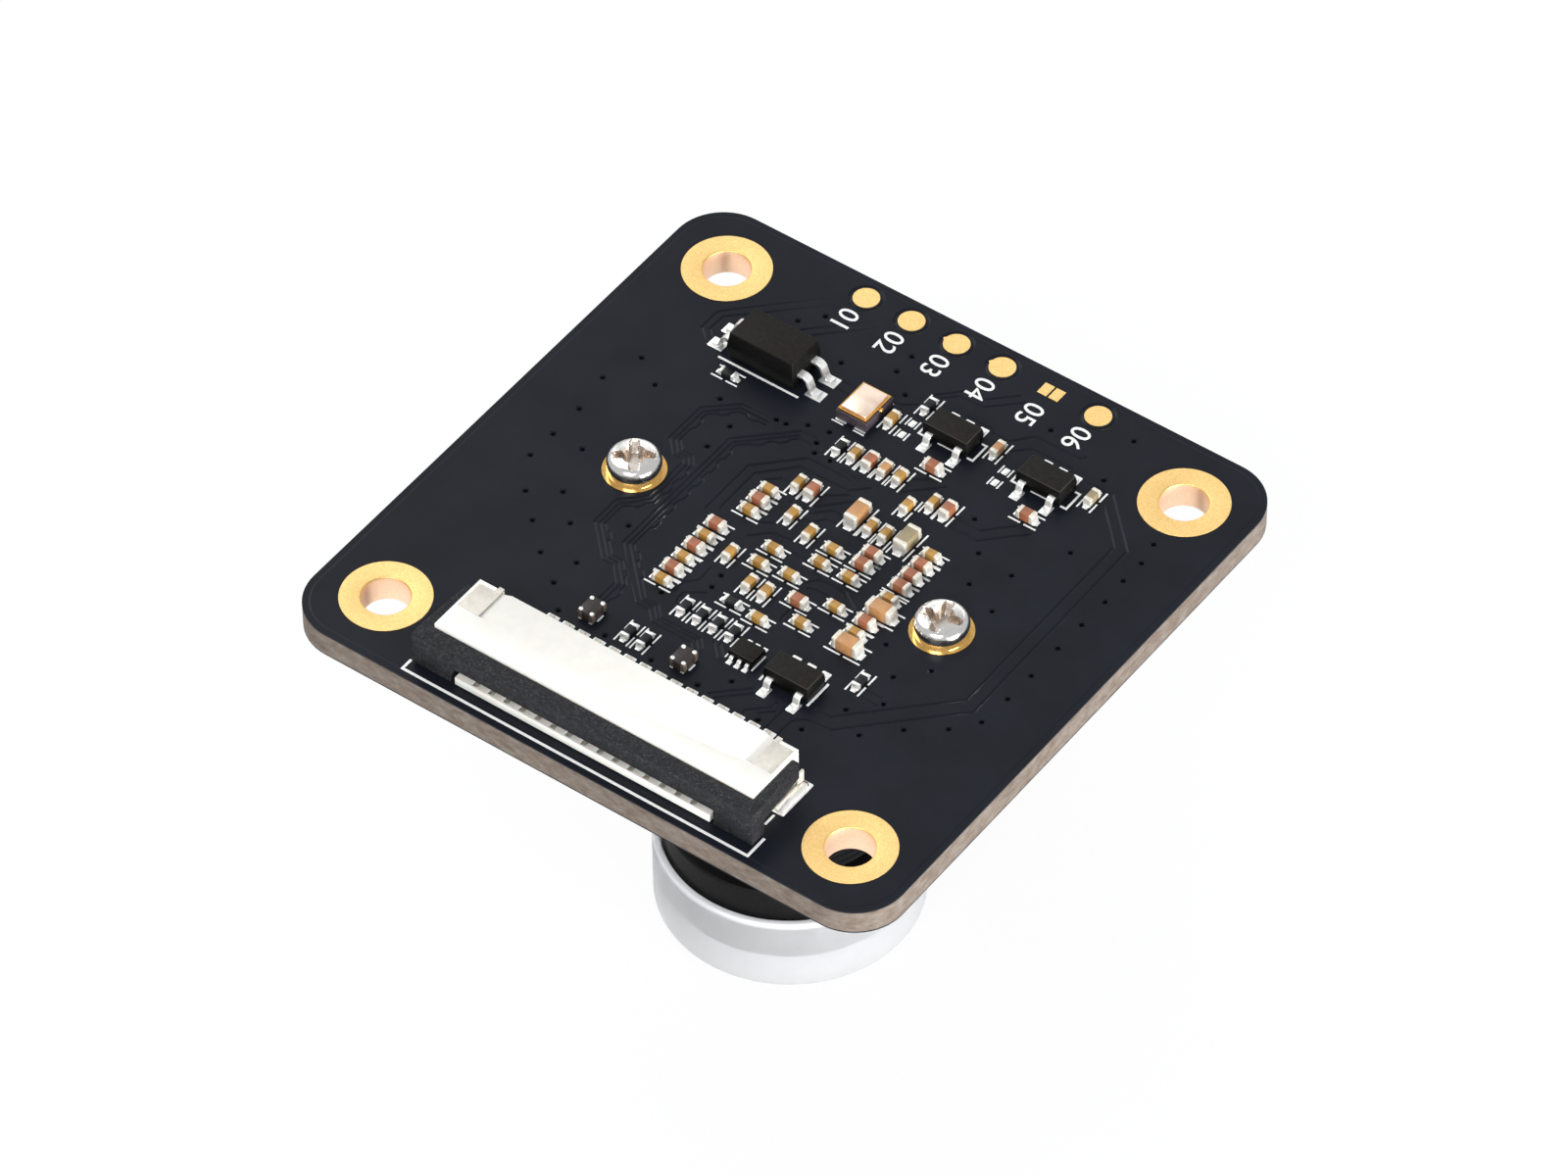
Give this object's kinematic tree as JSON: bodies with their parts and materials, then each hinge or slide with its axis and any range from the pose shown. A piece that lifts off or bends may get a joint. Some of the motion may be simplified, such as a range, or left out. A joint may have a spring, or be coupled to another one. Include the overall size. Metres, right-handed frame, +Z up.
{
  "type": "board camera module",
  "caption": "Square camera board with a flat-cable connector on top and a capped focusing lens in a screwed holder underneath.",
  "frame": {"origin": "middle of the lens cap's closed end, on which the part stands", "axes": "+Z up the lens axis to the board's component side, +X to the right along the cable connector, -Y out of the connector's mouth"},
  "size_m": [0.038, 0.038, 0.0291],
  "materials": {
    "solder_mask": "semi-gloss solder mask",
    "gold_plating": "bright",
    "nickel": "bright",
    "sensor_package": "matt",
    "sensor_die": "polished",
    "clear_glass": "polished",
    "holder_plastic": "matt",
    "filter_glass": "polished",
    "black_anodised": "satin",
    "cap_plastic": "frosted",
    "ivory_plastic": "matt",
    "charcoal_plastic": "matt",
    "tin": "satin",
    "package_plastic": "matt",
    "oscillator_ceramic": "matt",
    "lid_metal": "satin",
    "ferrite": "matt",
    "amber_ceramic": "matt",
    "red_ceramic": "matt",
    "tan_ceramic": "matt",
    "olive_ceramic": "matt",
    "resistor_ceramic": "satin"
  },
  "bodies": {
    "board": {"circuit_board": "solder_mask", "mounting_hole_plating": "gold_plating", "screw_hole_plating": "gold_plating", "test_pads": "gold_plating", "holder_screws": "nickel", "sensor_package": "sensor_package", "sensor_die": "sensor_die", "sensor_glass": "clear_glass", "lens_holder": "holder_plastic", "infrared_filter": "filter_glass", "connector_housing": "ivory_plastic", "connector_contacts": "tin", "connector_solder_tabs": "tin", "optocoupler_body": "package_plastic", "optocoupler_leads": "tin", "oscillator_base": "oscillator_ceramic", "oscillator_seal": "gold_plating", "oscillator_lid": "lid_metal", "left_regulator_body": "package_plastic", "left_regulator_leads": "tin", "right_regulator_body": "package_plastic", "right_regulator_leads": "tin", "front_regulator_body": "package_plastic", "front_regulator_leads": "tin", "level_shifter_body": "package_plastic", "level_shifter_leads": "tin", "left_filter_body": "ferrite", "left_filter_terminals": "tin", "right_filter_body": "ferrite", "right_filter_terminals": "tin", "amber_capacitors": "amber_ceramic", "red_capacitors": "red_ceramic", "tan_capacitors": "tan_ceramic", "olive_capacitors": "olive_ceramic", "capacitor_terminals": "tin", "resistors": "resistor_ceramic", "resistor_terminals": "tin"},
    "glass_stack": {"front_element": "clear_glass", "middle_element": "clear_glass", "rear_element": "clear_glass", "front_spacer": "black_anodised", "rear_spacer": "black_anodised"},
    "lens": {"lens_barrel": "black_anodised", "rear_retaining_ring": "black_anodised"},
    "cap": {"lens_cap": "cap_plastic"},
    "actuator": {"connector_actuator": "charcoal_plastic"}
  },
  "joints": [
    {"name": "focus_travel", "type": "slide", "parent": "board", "child": "glass_stack", "axis": [0, 0, 1], "range_m": [-0.002, 0.002]},
    {"name": "focus_turn", "type": "hinge", "parent": "glass_stack", "child": "lens", "pos_m": [0, 0, 0], "axis": [0, 0, 1], "range_deg": [-1440, 1440]},
    {"name": "lens_cap_pull", "type": "slide", "parent": "lens", "child": "cap", "axis": [0, 0, -1], "range_m": [0, 0.012]},
    {"name": "actuator_slide", "type": "slide", "parent": "board", "child": "actuator", "axis": [0, -1, 0], "range_m": [0, 0.001]}
  ],
  "couplings": [
    {"joint": "focus_turn", "follows": "focus_travel", "rad_per_m": 12566}
  ]
}
